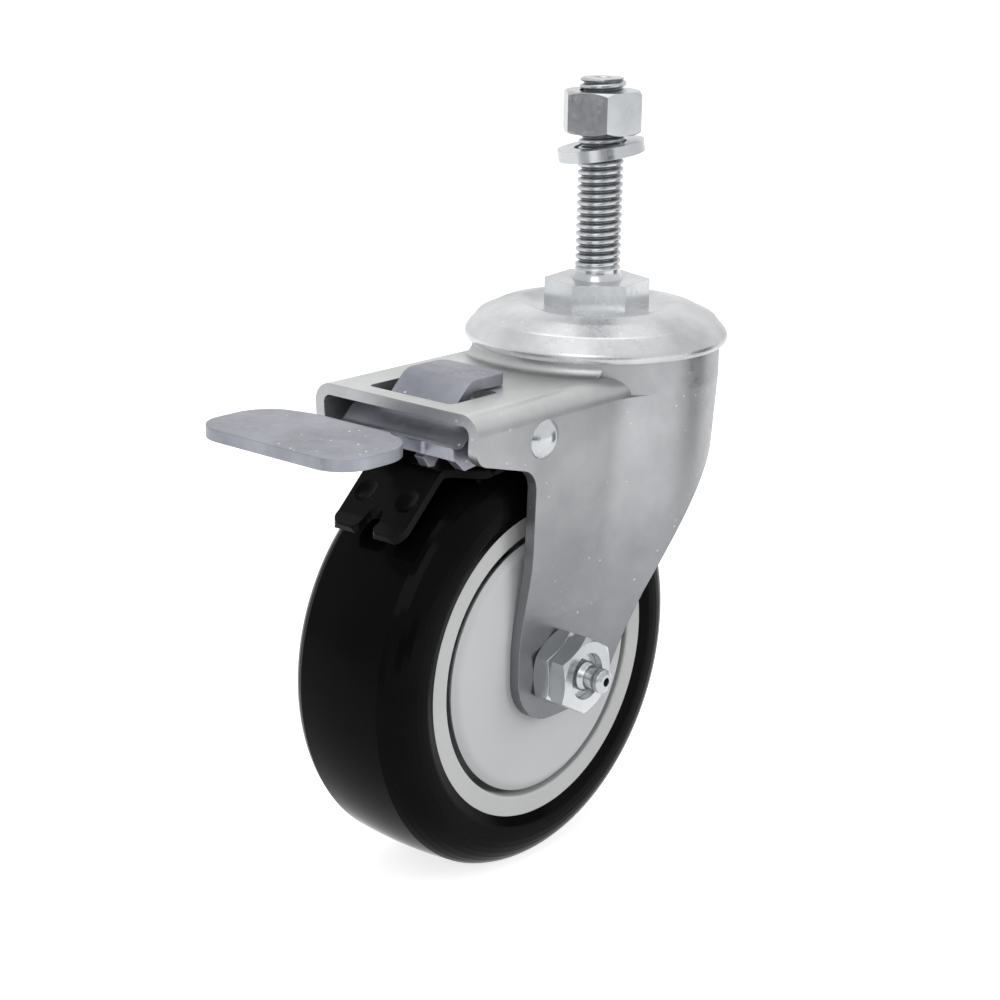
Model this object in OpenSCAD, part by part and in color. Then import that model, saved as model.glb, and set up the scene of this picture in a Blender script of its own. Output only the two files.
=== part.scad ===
// Threaded stem castor: a 3.5 in polyurethane wheel in a pressed fork, with a foot lever that stops
// the wheel and the swivel together.
// Millimetres. The origin is where the stem leaves its hex base, +Z runs up the stem, the wheel
// trails toward -X, and the axle nuts and grease fitting face -Y.

/* [Stem] */
// Outside diameter of the stem's thread
stem_d = 9.5; // [8:0.1:11]
// Height of the stem above its hex base
stem_h = 41.4; // [36:0.1:60]
// Rise of the thread in one turn
thread_pitch = 1.5875; // [1:0.0125:2]
// Width across the flats of the hex base
hex_af = 19.05; // [16:0.05:22]
// Thickness of the hex base
hex_t = 5.7; // [4:0.1:8]
// Turn of the hex base about the stem
hex_turn = 10.7; // [0:0.1:60]
// Diameter of the kingpin under the hex base
kingpin_d = 12; // [8:0.5:14]

/* [Stem nut and washer] */
// Width across the flats of the stem nut
nut_af = 15.1; // [13:0.01:17]
// Height of the stem nut
nut_h = 8.6; // [5:0.1:10]
// Height of the nut's lower face above the hex base
nut_z = 30.2; // [26:0.1:32]
// Turn of the nut about the stem
nut_turn = 45; // [0:1:60]
// Outside diameter of the split lock washer
washer_d = 18; // [15:0.1:20]
// Width of the washer's wire
washer_w = 3.5; // [2.5:0.1:3.6]
// Thickness of the washer
washer_t = 2.4; // [1.5:0.1:3]
// Tilt of the loose washer on the stem
washer_tilt = 9; // [0:1:12]
// Direction that the washer's high side faces, turned about the stem
washer_turn = -49; // [-90:1:90]
// Height of the washer's middle above the hex base
washer_z = 26.7; // [24:0.1:27]

/* [Swivel head] */
// Thickness of the pressed cap
cap_t = 1.2; // [0.8:0.1:1.6]
// Widest radius of the cap's rim
cap_r = 27.6; // [27.2:0.1:31]
// Radius of the cap's crown, the highest ring of the dome
cap_crown_r = 18; // [16.5:0.5:19.5]
// Height of the cap's crown above the floor of its recess
cap_rise = 0.8; // [0.6:0.1:2]
// Depth of the cap from its crown to the lower edge of its rim
cap_drop = 7.4; // [7:0.1:8]
// Diameter of the swivel balls
ball_d = 4.76; // [3.5:0.01:5]
// Number of balls in the upper race
upper_ball_n = 21; // [12:1:22]
// Number of balls in the lower race
lower_ball_n = 15; // [8:1:15]
// Radius of the ring of upper balls
upper_ball_r = 17; // [16.6:0.1:17.6]
// Radius of the ring of lower balls
lower_ball_r = 13; // [12.5:0.1:13.5]
// Thickness of the lower race
race_t = 2.6; // [1.5:0.1:3.5]
// Thickness of the notched lock ring
lock_ring_t = 2; // [1.5:0.1:2.4]
// Outside radius of the notched lock ring
lock_ring_r = 18.6; // [17.5:0.1:19.5]
// Number of notches in the lock ring
lock_notch_n = 16; // [8:1:20]

/* [Fork] */
// Thickness of the fork's steel sheet
sheet_t = 2.3; // [2:0.1:3]
// Outside width of the fork's arms
fork_w = 42.8; // [42:0.1:45]
// Radius of the skirt and raised ring round the swivel axis
skirt_r = 26.1; // [25.8:0.05:26.2]
// Radius of the soft bend where each flat side meets the skirt
blend_r = 20; // [10:1:30]
// Height of the deck below the hex base's top
deck_drop = 15.2; // [14.5:0.1:16]
// Outside radius of the fold along each side of the deck
fold_r = 4; // [3:0.1:5]
// Distance of the deck's front edge from the swivel axis
deck_front = 61.4; // [60:0.1:66]
// Outside width of the fork at the axle
foot_w = 36.6; // [36.4:0.1:38]
// Distance of the leg's front edge from the swivel axis
leg_front = 42; // [40:0.1:43]
// Depth of the foot below the axle
foot_drop = 10.6; // [10:0.1:14]
// Diameter of the axle hole
axle_hole_d = 9.7; // [9.6:0.05:10.5]
// Width of the opening in the deck
slot_w = 22; // [20:0.5:26]
// Front of the opening, from the swivel axis
slot_front = 57.4; // [56:0.1:58.5]
// Rear of the opening, from the swivel axis
slot_rear = 43.6; // [43:0.1:44.5]

/* [Wheel] */
// Distance of the axle behind the swivel axis
trail = 33; // [31:0.1:34]
// Depth of the axle below the hex base's top
axle_drop = 72.8; // [72:0.1:80]
// Diameter of the tyre
wheel_d = 88.9; // [84:0.1:89]
// Width of the tyre
wheel_w = 30.8; // [29.6:0.1:31]
// Radius of the tyre's shoulders, as a share of the tyre's thickness
shoulder_share = 0.675; // [0.3:0.025:0.7]
// Fall of the tread from its middle to its shoulders
crown = 1.2; // [0.4:0.1:1.6]
// Radius of the wheel's core, where the tyre starts
core_r = 32.6; // [31:0.1:34]
// Width of the core's grey face ring
ring_w = 4.1; // [3:0.1:5]
// Width of the core at its face rings
core_w = 29; // [28:0.1:29.2]
// Thickness of the core's web
web_t = 6; // [4:0.5:8]
// Radius of the core's hub
hub_r = 18; // [16.5:0.5:21]
// Outside diameter of each wheel bearing
bearing_d = 28; // [26:0.5:30]
// Width of each wheel bearing
bearing_w = 8; // [7:0.5:9]
// Diameter of the balls in the wheel bearings
bearing_ball_d = 4.5; // [3.5:0.1:4.7]
// Number of balls in each wheel bearing
bearing_ball_n = 9; // [6:1:10]

/* [Axle] */
// Diameter of the axle bolt
axle_d = 9.5; // [8.5:0.1:9.5]
// Outside diameter of the sleeve that the bearings run on
sleeve_d = 12.7; // [12:0.1:13]
// Width across the flats of the axle nuts and the bolt's head
axle_af = 14.29; // [13:0.01:16]
// Thickness of each of the two axle nuts
axle_nut_t = 4.1; // [3:0.1:6]
// Turn of the axle nuts
axle_nut_turn = 0; // [0:1:60]
// Gap between the thread guards and the core's face rings
guard_gap = 1.1; // [0.8:0.1:2]
// Thickness of the thread guards' sheet
guard_t = 1.2; // [0.8:0.1:1.5]
// Bulge of the thread guards from rim to middle
guard_bulge = 1.1; // [0.6:0.1:1.5]
// Length of the grease fitting that stands out of the axle
nipple_len = 6.4; // [4:0.1:9]

/* [Brake] */
// Distance of the brake rivet from the swivel axis
pivot_x = 41.6; // [41:0.1:42]
// Depth of the brake rivet below the hex base's top
pivot_drop = 22.9; // [22.6:0.1:23.4]
// Diameter of the brake rivet
rivet_d = 5.5; // [4:0.1:6]
// Diameter of the rivet's domed heads
rivet_head_d = 8.2; // [7:0.1:10]
// Thickness of the foot lever's steel
lever_t = 2.3; // [1.8:0.1:2.6]
// Width of the lever's toe plate
toe_w = 40; // [30:0.5:42]
// Distance of the toe plate's tip from the swivel axis
toe_tip = 95.2; // [88:0.1:100]
// Width of the lever's neck and of its release tab
tab_w = 17; // [12:0.5:18]
// Width of the lever inside the fork
lever_w = 31.6; // [30:0.1:32]
// Thickness of the brake shoe's steel
shoe_t = 1.6; // [1.2:0.1:2]
// Width of the shoe's pad over the tyre
pad_w = 18; // [14:0.5:22]
// Gap between the shoe and the tyre with the brake off
pad_gap = 3; // [2.6:0.1:4]
// Diameter of the spring's wire
spring_wire = 1.2; // [0.8:0.1:1.6]
// Turns of the return spring
spring_turns = 5; // [3:1:7]

/* [Clearances] */
// Radial gap of the nut round the stem
thread_gap = 0.05; // [0.02:0.01:0.1]
// Radial gap of a lever on the brake rivet
pivot_gap = 0.1; // [0.04:0.01:0.1]
// Gap between parts that turn past each other
turn_gap = 0.3; // [0.2:0.05:0.4]
// Gap that a fitted ring, pin or ball has in its seat
fit_gap = 0.02; // [0.01:0.01:0.05]
// Gap between the loose washer and the stem, across the tilt
washer_gap = 0.4; // [0.3:0.05:0.6]

/* [Hidden] */
$fn = 72;
far = 200;
eps = 0.01;

// Swivel head levels, from the top down
cap_floor_z = -hex_t;
crown_z = cap_floor_z + cap_rise;
rim_z = crown_z - cap_drop;
upper_ball_z = crown_z - cap_t - turn_gap - 0.1 - ball_d / 2;
groove_depth = 0.5;
ring_z = upper_ball_z - ball_d / 2 + groove_depth;
lower_ball_z = ring_z - sheet_t - ball_d / 2 + groove_depth;
race_z = lower_ball_z - ball_d / 2 + groove_depth - turn_gap;
lock_ring_z = race_z - race_t;
kingpin_end_z = lock_ring_z - lock_ring_t - 2.2;
kingpin_head_r = kingpin_d / 2 + 2.4;

// Fork levels and half widths
deck_z = -deck_drop;
fold_z = deck_z - fold_r;
fork_hw = fork_w / 2;
foot_hw = foot_w / 2;
foot_in = foot_hw - sheet_t;
lean_end_z = -62;
lean_slope = (fork_hw - foot_hw) / (fold_z - lean_end_z);
fork_hole_r = lower_ball_r - ball_d / 2 - 1.2;

// Wheel and axle places
axle_z = -axle_drop;
axle_x = -trail;
wheel_r = wheel_d / 2;
core_hw = core_w / 2;
sleeve_hw = foot_in - guard_t;
hub_hw = sleeve_hw - 0.6;
guard_r = core_r - ring_w - guard_gap;
tyre_t = wheel_r - core_r;
nut_seat_y = foot_hw + fit_gap;
bearing_mid_r = (sleeve_d + bearing_d) / 4;
bearing_split = 1.2;
axle_end_y = foot_hw + 2 * axle_nut_t - 1.6;

// Brake places
pivot_z = -pivot_drop;
coil_r = rivet_d / 2 + 0.25 + spring_wire / 2;
coil_pitch = spring_wire + 0.25;
coil_steps = 20;
coil_clear_r = coil_r + spring_wire / 2 + 1;
coil_clear_hw = spring_turns * coil_pitch / 2 + spring_wire / 2 + 1;

// Vector and outline helpers
function unit(v) = v / norm(v);
function turn(a, b) = let (d = b - a) d > 180 ? d - 360 : (d < -180 ? d + 360 : d);

// Points of a round corner of radius r at b, between a and c
function corner(a, b, c, r) =
    r == 0 ? [b] :
    let (
        u = unit(a - b),
        v = unit(c - b),
        half = acos(u * v) / 2,
        m = b + unit(u + v) * r / sin(half),
        p = b + u * r / tan(half) - m,
        q = b + v * r / tan(half) - m,
        start = atan2(p[1], p[0]),
        sweep = turn(start, atan2(q[1], q[0])),
        n = max(2, ceil(abs(sweep) / 10))
    )
    [for (i = [0 : n]) m + r * [cos(start + sweep * i / n), sin(start + sweep * i / n)]];

function flat(p) = [p[0], p[1]];

// Closed outline with round corners, from points [x, y, corner radius]
function rounded(p) =
    let (n = len(p))
    [for (i = [0 : n - 1])
        each corner(flat(p[(i + n - 1) % n]), flat(p[i]), flat(p[(i + 1) % n]), p[i][2])];

// Open path with round bends, from points [x, y, bend radius]
function bent(p) =
    let (n = len(p))
    [for (i = [0 : n - 1])
        each (i == 0 || i == n - 1) ? [flat(p[i])] : corner(flat(p[i - 1]), flat(p[i]), flat(p[i + 1]), p[i][2])];

// Outline of a sheet of thickness t whose middle follows an open path
function left_of(a, b) = let (u = unit(b - a)) [-u[1], u[0]];
function side(p, i) =
    i == 0 ? left_of(p[0], p[1]) :
    i == len(p) - 1 ? left_of(p[i - 1], p[i]) :
    let (
        a = left_of(p[i - 1], p[i]),
        m = unit(a + left_of(p[i], p[i + 1]))
    )
    m / (m * a);
function sheet(p, t) = concat(
    [for (i = [0 : len(p) - 1]) p[i] + side(p, i) * t / 2],
    [for (i = [len(p) - 1 : -1 : 0]) p[i] - side(p, i) * t / 2]
);

// Centre of the circle through three points
function circle_centre(a, b, c) =
    let (
        u = b - a,
        v = c - a,
        d = 2 * (u[0] * v[1] - u[1] * v[0])
    )
    a + [v[1] * (u * u) - u[1] * (v * v), u[0] * (v * v) - v[0] * (u * u)] / d;

// Extrusion of an XZ outline across the part, centred on the middle plane
module across(w) {
    rotate([90, 0, 0]) linear_extrude(w, center = true) children();
}

// Places its children on the axle, turned so that their Z runs toward -Y
module on_axle(y = 0) {
    translate([axle_x, y, axle_z]) rotate([90, 0, 0]) children();
}

// Hexagonal prism with flats af apart, its corners turned off at the ends that are named
module hexagon(af, h, top = true, bottom = true) {
    r = af / sqrt(3);
    cut = r - af / 2;
    fall = cut * tan(30);
    intersection() {
        cylinder(h = h, r = r, $fn = 6);
        rotate_extrude()
            polygon([
                [0, 0], [bottom ? r - cut : r, 0], [r, bottom ? fall : 0],
                [r, top ? h - fall : h], [top ? r - cut : r, h], [0, h]
            ]);
    }
}

// Ring of balls about Z
module ball_ring(n, r, d) {
    for (i = [0 : n - 1])
        rotate([0, 0, i * 360 / n]) translate([r, 0, 0]) sphere(d = d, $fn = 24);
}

// Ring of square section with a round groove for balls, about Z
module groove(r, d, z) {
    translate([0, 0, z]) rotate_extrude() translate([r, 0]) circle(d = d + 2 * fit_gap, $fn = 32);
}

// Stem, hex base and kingpin, one turned piece
module stem() {
    tip = 1.1;
    neck_h = 1.6;
    color("gainsboro") {
        difference() {
            union() {
                translate([0, 0, -eps]) cylinder(h = stem_h - tip + eps, d = stem_d);
                translate([0, 0, stem_h - tip]) cylinder(h = tip, d1 = stem_d, d2 = stem_d - 2 * tip);
                translate([0, 0, -eps]) cylinder(h = neck_h, d1 = stem_d + 1.2, d2 = stem_d);
                rotate([0, 0, hex_turn]) translate([0, 0, -hex_t])
                    cylinder(h = hex_t, d = hex_af * 2 / sqrt(3), $fn = 6);
                translate([0, 0, kingpin_end_z]) cylinder(h = -kingpin_end_z - hex_t + eps, d = kingpin_d);
                translate([0, 0, kingpin_end_z])
                    cylinder(h = lock_ring_z - lock_ring_t - kingpin_end_z, r1 = kingpin_head_r - 1, r2 = kingpin_head_r);
            }
            translate([0, 0, stem_h - 0.8]) cylinder(h = 2, d = stem_d / 3);
        }
    }
}

// Hex nut on the stem
module stem_nut() {
    color("silver") translate([0, 0, nut_z]) rotate([0, 0, nut_turn]) difference() {
        hexagon(nut_af, nut_h);
        translate([0, 0, -1]) cylinder(h = nut_h + 2, d = stem_d + 2 * thread_gap);
    }
}

// Split spring washer, hanging loose and tilted under the nut
module lock_washer() {
    bore_r = stem_d / 2 + washer_gap;
    split = 1.6;
    rise = 0.6;
    color("silver") translate([0, 0, washer_z]) rotate([0, -washer_tilt, washer_turn])
        difference() {
            union() {
                for (half = [0, 1])
                    rotate([0, 0, half * 180]) rotate([half == 0 ? rise : -rise, 0, 0])
                        translate([0, 0, -washer_t / 2]) intersection() {
                            cylinder(h = washer_t, d = washer_d);
                            translate([-far / 2, -eps, -1]) cube([far, far, washer_t + 2]);
                        }
            }
            translate([0, 0, -far / 2]) cylinder(h = far, r = washer_d / 2 - washer_w);
            rotate([0, 0, 62]) translate([0, -split / 2, -far / 2]) cube([far, split, far]);
        }
}

// Middle line of the cap's section, from the bore out to the rim
function cap_path() = bent([
    [kingpin_d / 2 + fit_gap, cap_floor_z - cap_t / 2, 0],
    [hex_af / 2 + 3.6, cap_floor_z - cap_t / 2, 1.6],
    [cap_crown_r - 1.4, crown_z - cap_t / 2 + 0.1, 3],
    [cap_crown_r + 2.6, crown_z - cap_t / 2 - 0.6, 3],
    [cap_r - 3, crown_z - cap_t / 2 - 2.5, 0.6],
    [cap_r - 2.5, crown_z - cap_t / 2 - 3.1, 0.6],
    [cap_r - cap_t / 2 + 0.25, rim_z + 1.1, 0.9],
    [cap_r - 0.3 - cap_t / 2, rim_z + 0.2, 0]
]);

// Pressed cap over the swivel head, clamped under the hex base
module top_cap() {
    color("lightgray") rotate_extrude() polygon(sheet(cap_path(), cap_t));
}

// Lower race, held up by the kingpin's head
module lower_race() {
    color("gray") difference() {
        translate([0, 0, lock_ring_z]) cylinder(h = race_t, r = lower_ball_r + ball_d / 2 + 1);
        translate([0, 0, lock_ring_z - 1]) cylinder(h = race_t + 2, d = kingpin_d + 2 * fit_gap);
        groove(lower_ball_r, ball_d + 2 * turn_gap, lower_ball_z);
    }
}

// Notched ring on the kingpin that the pawl reaches for when the brake is pressed
module lock_ring() {
    notch_w = 3.4;
    color("gray") difference() {
        translate([0, 0, lock_ring_z - lock_ring_t]) cylinder(h = lock_ring_t, r = lock_ring_r);
        translate([0, 0, lock_ring_z - lock_ring_t - 1])
            cylinder(h = lock_ring_t + 2, d = kingpin_d + 2 * fit_gap);
        for (i = [0 : lock_notch_n - 1])
            rotate([0, 0, (i + 0.5) * 360 / lock_notch_n])
                translate([lock_ring_r - 2.6, -notch_w / 2, lock_ring_z - lock_ring_t - 1])
                    cube([far, notch_w, lock_ring_t + 2]);
    }
}

// Balls between the cap and the fork
module upper_balls() {
    color("silver") translate([0, 0, upper_ball_z]) ball_ring(upper_ball_n, upper_ball_r, ball_d);
}

// Balls between the fork and the lower race
module lower_balls() {
    color("silver") translate([0, 0, lower_ball_z]) ball_ring(lower_ball_n, lower_ball_r, ball_d);
}

// Fork's plan: a channel with straight sides that meets the round skirt in a soft bend
module fork_plan(inset) {
    hw = fork_hw - inset;
    r = skirt_r - inset;
    b = blend_r + inset;
    m = [-sqrt(pow(r + b, 2) - pow(hw + b, 2)), hw + b];
    on_skirt = m * r / (r + b);
    translate([-deck_front - inset, -hw]) square([deck_front + inset, 2 * hw]);
    circle(r);
    for (s = [-1, 1])
        difference() {
            polygon([
                [m[0], s * hw], [-sqrt(r * r - hw * hw), s * (hw - 1)], [on_skirt[0], s * on_skirt[1]]
            ]);
            translate([m[0], s * m[1]]) circle(b);
        }
}

// Top of the fork as a solid: deck with folded sides and the raised ring round the swivel axis
module fork_top(inset, ring_edge) {
    hw = fork_hw - inset;
    r = fold_r - inset;
    front = -deck_front - inset;
    translate([front, 0, 0]) rotate([90, 0, 90]) linear_extrude(-front) {
        translate([-hw, fold_z - 1]) square([2 * hw, 1]);
        translate([r - hw, fold_z]) square([2 * (hw - r), r]);
        translate([r - hw, fold_z]) circle(r);
        translate([hw - r, fold_z]) circle(r);
    }
    rotate_extrude() polygon(rounded([
        [0, fold_z - 1, 0], [skirt_r - inset, fold_z - 1, 0],
        [skirt_r - inset, ring_z - inset, ring_edge], [0, ring_z - inset, 0]
    ]));
}

// Side view of the fork's walls below the fold
module fork_side() {
    leg = -leg_front;
    heel = [5.7, -42.3];
    back = [skirt_r + 1, -25.5];
    hock = [axle_x + 20.5, axle_z + 2.8];
    m = circle_centre(back, heel, hock);
    difference() {
        polygon(rounded([
            [-deck_front, fold_z + 1, 0],
            [-deck_front, fold_z - 5.4, 4],
            [leg - 1, fold_z - 10.3, 5.5],
            [leg, axle_z + 23, 30],
            [axle_x - 11.6, axle_z + 6, 20],
            [axle_x - 11.6, axle_z - foot_drop, 10],
            [axle_x + 14.6, axle_z - foot_drop, 7],
            [hock[0], hock[1], 0],
            [far, hock[1], 0],
            [far, fold_z + 1, 0]
        ]));
        translate(m) circle(norm(heel - m), $fn = 180);
    }
}

// One side wall of the fork: the plan carried down, leaning in toward the axle, then straight
module fork_wall(s) {
    lean_h = fold_z - lean_end_z;
    shift = s * (fork_hw - foot_hw);
    module strip(h) {
        linear_extrude(h) intersection() {
            difference() {
                fork_plan(0);
                fork_plan(sheet_t);
            }
            translate([-far / 2, s > 0 ? 0 : -far]) square([far, far]);
        }
    }
    intersection() {
        union() {
            multmatrix([
                [1, 0, 0, 0], [0, 1, shift / lean_h, -shift], [0, 0, 1, lean_end_z], [0, 0, 0, 1]
            ]) strip(lean_h);
            translate([0, -shift, lean_end_z - 30]) strip(30);
        }
        across(far) fork_side();
    }
}

// Fork: one folded and drawn sheet
module fork() {
    fillet = 2;
    color("gainsboro") difference() {
        union() {
            difference() {
                fork_top(0, 1.6);
                fork_top(sheet_t, 0.4);
                translate([-far, -far, fold_z - far]) cube([2 * far, 2 * far, far]);
            }
            fork_wall(-1);
            fork_wall(1);
            intersection() {
                rotate_extrude() difference() {
                    translate([skirt_r - 1, deck_z - 1]) square([fillet + 1, fillet + 1]);
                    translate([skirt_r + fillet, deck_z + fillet]) circle(fillet);
                }
                translate([-skirt_r - fillet - 1, fold_r - fork_hw, deck_z - 1])
                    cube([skirt_r, 2 * (fork_hw - fold_r), fillet + 1]);
            }
        }
        translate([0, 0, ring_z - far / 2]) cylinder(h = far, r = fork_hole_r);
        groove(upper_ball_r, ball_d, upper_ball_z);
        groove(lower_ball_r, ball_d, lower_ball_z);
        translate([-slot_front, -slot_w / 2, deck_z - sheet_t - 1])
            linear_extrude(sheet_t + 2) polygon(rounded([
                [0, 0, 1.5], [slot_front - slot_rear, 0, 1.5],
                [slot_front - slot_rear, slot_w, 1.5], [0, slot_w, 1.5]
            ]));
        on_axle(-far / 2) translate([0, 0, -far]) cylinder(h = 2 * far, d = axle_hole_d);
        translate([-pivot_x, -far / 2, pivot_z]) rotate([-90, 0, 0])
            cylinder(h = far, d = rivet_d + 2 * fit_gap);
    }
}

// Axle bolt, with its head on the far side and its drilled end inside the outer nut
module axle_bolt() {
    head_t = 5.6;
    color("silver") difference() {
        union() {
            on_axle() translate([0, 0, -foot_hw - fit_gap]) cylinder(h = foot_hw + axle_end_y, d = axle_d);
            on_axle() translate([0, 0, -foot_hw - fit_gap - head_t]) hexagon(axle_af, head_t, top = false);
        }
        on_axle() translate([0, 0, axle_end_y - 8]) cylinder(h = 20, d = 4);
    }
}

// Sleeve between the thread guards that the bearings run on
module axle_sleeve() {
    color("gray") on_axle() difference() {
        translate([0, 0, -sleeve_hw]) cylinder(h = 2 * sleeve_hw, d = sleeve_d);
        translate([0, 0, -far / 2]) cylinder(h = far, d = axle_d + 0.2);
    }
}

// One of the two nuts on the axle
module plain_axle_nut(y) {
    on_axle() translate([0, 0, y]) rotate([0, 0, 30 + axle_nut_turn]) difference() {
        hexagon(axle_af, axle_nut_t);
        translate([0, 0, -1]) cylinder(h = axle_nut_t + 2, d = axle_d + 2 * thread_gap);
    }
}

module jam_nut() {
    color("silver") plain_axle_nut(nut_seat_y);
}

module axle_nut() {
    color("silver") plain_axle_nut(nut_seat_y + axle_nut_t + fit_gap);
}

// Grease fitting in the end of the axle
module grease_fitting() {
    z = axle_end_y;
    color("silver") on_axle() difference() {
        union() {
            translate([0, 0, z - 6]) cylinder(h = 6, d = 4 - 2 * fit_gap);
            translate([0, 0, z + fit_gap]) rotate_extrude() polygon(rounded([
                [0, 0, 0], [3.1, 0, 0], [3.1, 1.2, 0.4], [2.4, 2.2, 0.4], [2.1, nipple_len - 2.2, 0.8],
                [2.5, nipple_len - 1.6, 0.4], [2.5, nipple_len - 0.6, 0.4], [1.6, nipple_len, 0], [0, nipple_len, 0]
            ]));
            translate([0, 0, z - eps]) cylinder(h = 0.1, d = 3.8);
        }
        translate([0, 0, z + nipple_len - 2]) cylinder(h = 3, d = 1.8);
    }
}

// Domed steel disc that keeps thread off the axle, clamped between leg and bearing
module thread_guard(s) {
    mid = foot_in - guard_t / 2;
    color("lightgray") translate([axle_x, 0, axle_z]) rotate([s * -90, 0, 0]) difference() {
        rotate_extrude() polygon(sheet(bent([
            [axle_hole_d / 2, mid, 0], [13, mid, 10], [guard_r - 2, mid - guard_bulge * 0.7, 2.5],
            [guard_r - guard_t / 2, mid - guard_bulge - 0.6, 0]
        ]), guard_t));
    }
}

module thread_guard_near() {
    thread_guard(-1);
}

module thread_guard_far() {
    thread_guard(1);
}

// Wheel bearings: the inner ring stays with the axle and the outer ring turns with the core
module on_bearing(s) {
    translate([axle_x, 0, axle_z]) rotate([s * -90, 0, 0])
        translate([0, 0, sleeve_hw - fit_gap - bearing_w]) children();
}

module bearing_inner(s) {
    color("silver") on_bearing(s) difference() {
        cylinder(h = bearing_w, r = bearing_mid_r - bearing_split);
        translate([0, 0, -1]) cylinder(h = bearing_w + 2, d = sleeve_d + 2 * fit_gap);
        groove(bearing_mid_r, bearing_ball_d, bearing_w / 2);
    }
}

module bearing_outer(s) {
    color("silver") on_bearing(s) difference() {
        translate([0, 0, 0.5]) cylinder(h = bearing_w - 1, d = bearing_d);
        translate([0, 0, -1]) cylinder(h = bearing_w + 2, r = bearing_mid_r + bearing_split);
        groove(bearing_mid_r, bearing_ball_d + 0.1, bearing_w / 2);
    }
}

module bearing_balls(s) {
    color("silver") on_bearing(s) translate([0, 0, bearing_w / 2])
        ball_ring(bearing_ball_n, bearing_mid_r, bearing_ball_d);
}

module bearing_inner_near() {
    bearing_inner(-1);
}

module bearing_inner_far() {
    bearing_inner(1);
}

module bearing_outer_near() {
    bearing_outer(-1);
}

module bearing_outer_far() {
    bearing_outer(1);
}

module bearing_balls_near() {
    bearing_balls(-1);
}

module bearing_balls_far() {
    bearing_balls(1);
}

// Moulded core: face rings, web and hub with a pocket for each bearing
module wheel_core() {
    pocket_hw = sleeve_hw - fit_gap - bearing_w + 0.5 - fit_gap;
    bore_r = bearing_mid_r - bearing_split + turn_gap;
    color("lightgray") on_axle() difference() {
        rotate_extrude() polygon(rounded([
            [bore_r, -hub_hw, 0], [hub_r, -hub_hw, 1], [hub_r + 1.5, -web_t / 2, 2],
            [core_r - ring_w - 1, -web_t / 2, 2], [core_r - ring_w, -core_hw, 0.5], [core_r, -core_hw, 0],
            [core_r, core_hw, 0], [core_r - ring_w, core_hw, 0.5], [core_r - ring_w - 1, web_t / 2, 2],
            [hub_r + 1.5, web_t / 2, 2], [hub_r, hub_hw, 1], [bore_r, hub_hw, 0]
        ]));
        for (s = [-1, 1])
            rotate([0, s < 0 ? 180 : 0, 0]) translate([0, 0, pocket_hw])
                cylinder(h = far, d = bearing_d + 2 * fit_gap);
    }
}

// Tyre, moulded round the core
module tyre() {
    hw = wheel_w / 2;
    tread_r = pow(hw, 2) / (2 * crown) + crown / 2;
    shoulder_r = shoulder_share * tyre_t;
    lip = 0.2 * tyre_t;
    color("black") on_axle() rotate_extrude() intersection() {
        polygon(rounded([
            [core_r, -core_hw, 0], [core_r + lip, -hw, lip], [wheel_r, -hw, shoulder_r],
            [wheel_r, hw, shoulder_r], [core_r + lip, hw, lip], [core_r, core_hw, 0]
        ]));
        translate([wheel_r - tread_r, 0]) circle(tread_r, $fn = 360);
    }
}

// Middle line of the lever's sheet in side view: toe plate, dip, ramp and release tab
function lever_path() = bent([
    [-toe_tip - 1, deck_z - 3.4, 0],
    [-74, deck_z - 3.4, 9],
    [-59.7, deck_z - 8.9, 2.8],
    [-48.6, deck_z + turn_gap + lever_t / 2 + 0.1, 3.2],
    [-slot_rear + 5.2, deck_z + turn_gap + lever_t / 2 + 0.1, 0]
]);

// Plan of the lever's sheet: wide toe plate, narrow neck, full width in the fork, narrow tab
module lever_plan() {
    neck = tab_w / 2;
    body = lever_w / 2;
    toe = toe_w / 2;
    polygon(rounded([
        [-toe_tip, -toe, 7], [-toe_tip + 18.5, -toe, 9], [-toe_tip + 21.5, -neck, 6],
        [-62.5, -neck, 0.8], [-62.5, -body, 0.8], [-55.8, -body, 1.2], [-55.4, -neck, 0],
        [-slot_rear + 5.2, -neck, 2], [-slot_rear + 5.2, neck, 2],
        [-55.4, neck, 0], [-55.8, body, 1.2], [-62.5, body, 0.8],
        [-62.5, neck, 0.8], [-toe_tip + 21.5, neck, 6], [-toe_tip + 18.5, toe, 9], [-toe_tip, toe, 7]
    ]));
}

// Side view of the lever's cheeks, which fold back to the rivet
module lever_cheek_side() {
    polygon(rounded([
        [-61.4, -24.6, 0], [-56.4, -19.9, 0], [-53, deck_z - sheet_t - 1.1, 1.5],
        [-pivot_x + 4.4, deck_z - sheet_t - 1.1, 3.4], [-pivot_x + 4.4, pivot_z - 3.8, 3.4],
        [-47, pivot_z - 2.7, 2], [-56.4, -26.7, 0.8], [-58.8, -27, 0.8]
    ]));
}

// Foot lever: toe plate, release tab and two cheeks on the rivet, one stamped piece
module brake_lever() {
    color("silver") difference() {
        union() {
            intersection() {
                across(far) polygon(sheet(lever_path(), lever_t));
                translate([0, 0, -far / 2]) linear_extrude(far) lever_plan();
            }
            for (s = [-1, 1]) {
                translate([0, s * (lever_w - lever_t) / 2, 0]) across(lever_t) lever_cheek_side();
                translate([0, s * (tab_w - lever_t) / 2, 0]) across(lever_t) polygon([
                    [-62.4, -25], [-59.4, -23], [-57.6, -25.4], [-59.2, -27.4], [-60.8, -27.2]
                ]);
            }
        }
        translate([-pivot_x, -far / 2, pivot_z]) rotate([-90, 0, 0])
            cylinder(h = far, d = rivet_d + 2 * pivot_gap);
    }
}

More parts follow.
